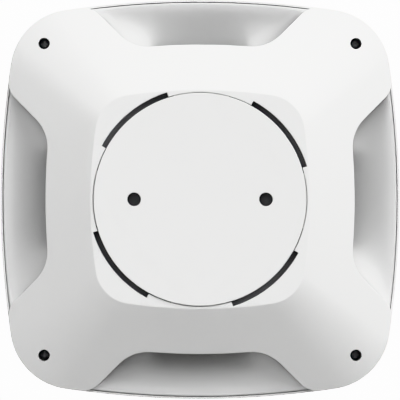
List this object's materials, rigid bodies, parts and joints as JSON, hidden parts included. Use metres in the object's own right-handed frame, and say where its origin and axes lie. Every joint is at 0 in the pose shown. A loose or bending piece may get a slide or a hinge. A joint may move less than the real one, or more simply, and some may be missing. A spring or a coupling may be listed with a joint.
{
  "type": "smoke detector",
  "caption": "Rounded-square battery smoke detector with an X-shaped rear cover, concave air inlets on its sides, a twist-lock ceiling bracket and a front test button.",
  "frame": {"origin": "middle of the mounting bracket's ceiling face", "axes": "+Z out of the ceiling face towards the ceiling, -Z out of the detector's front, +X through one of the bracket's two screw holes and the middle of a side inlet"},
  "size_m": [0.132, 0.132, 0.031],
  "materials": {
    "white_shell": "fine satin moulded plastic, white",
    "grey_guide": "satin moulded plastic, slightly greyer white",
    "dark_carrier": "matt moulded plastic, near black",
    "steel": "plain bright steel",
    "dark_steel": "blackened steel screw",
    "spring_bronze": "bright spring metal",
    "board_green": "green solder mask on glass laminate",
    "black_plastic": "matt black plastic",
    "cell_wrap": "dark printed-look shrink wrap over a metal can, no print",
    "piezo_brass": "thin brass disc",
    "clear_resin": "clear cast resin",
    "cream_part": "satin cream plastic"
  },
  "bodies": {
    "housing": {"air_guide": "grey_guide", "antenna": "spring_bronze", "battery_1": "cell_wrap", "battery_2": "cell_wrap", "battery_contact_1": "spring_bronze", "battery_contact_2": "spring_bronze", "battery_contact_3": "spring_bronze", "battery_contact_4": "spring_bronze", "battery_cradle_1": "black_plastic", "battery_cradle_2": "black_plastic", "board_screw_1": "steel", "board_screw_2": "steel", "board_screw_3": "steel", "board_screw_4": "steel", "bracket_seat": "dark_carrier", "case_screw_1": "dark_steel", "case_screw_2": "dark_steel", "case_screw_3": "dark_steel", "case_screw_4": "dark_steel", "coin_cell": "steel", "coin_cell_holder": "black_plastic", "control_chip": "black_plastic", "front_cover": "white_shell", "infrared_emitter": "clear_resin", "insect_screen_1": "steel", "insect_screen_2": "steel", "insect_screen_3": "steel", "insect_screen_4": "steel", "light_receiver": "black_plastic", "main_board": "board_green", "piezo_disc": "piezo_brass", "power_switch": "black_plastic", "radio_shield": "steel", "rear_cover": "white_shell", "seat_screw_1": "steel", "seat_screw_2": "steel", "seat_screw_3": "steel", "seat_screw_4": "steel", "siren_cap": "cream_part", "siren_housing": "cream_part", "smoke_chamber_base": "black_plastic", "smoke_chamber_cap": "black_plastic", "smoke_chamber_screen": "steel", "status_led": "clear_resin", "tamper_switch": "black_plastic", "test_switch": "black_plastic", "thermistor_1": "black_plastic", "thermistor_2": "black_plastic"},
    "bracket": {"mounting_bracket": "white_shell"},
    "test_button": {"test_button": "white_shell", "test_plunger": "cream_part"},
    "tamper_button": {"tamper_button": "cream_part", "tamper_plunger": "cream_part"},
    "power_button": {"power_button": "cream_part", "power_plunger": "cream_part"}
  },
  "joints": [
    {"name": "bracket_turn", "type": "hinge", "parent": "housing", "child": "bracket", "pos_m": [0, 0, 0], "axis": [0, 0, 1], "range_deg": [0, 40]},
    {"name": "test_press", "type": "slide", "parent": "housing", "child": "test_button", "axis": [0, 0, 1], "range_m": [0, 0.0005], "stiffness_N_per_m": 400, "springref_m": -0.0005},
    {"name": "tamper_press", "type": "slide", "parent": "housing", "child": "tamper_button", "axis": [0, 0, -1], "range_m": [0, 0.0008], "stiffness_N_per_m": 400, "springref_m": -0.0005},
    {"name": "power_press", "type": "slide", "parent": "housing", "child": "power_button", "axis": [0, 0, -1], "range_m": [0, 0.0005], "stiffness_N_per_m": 400, "springref_m": -0.0005}
  ]
}
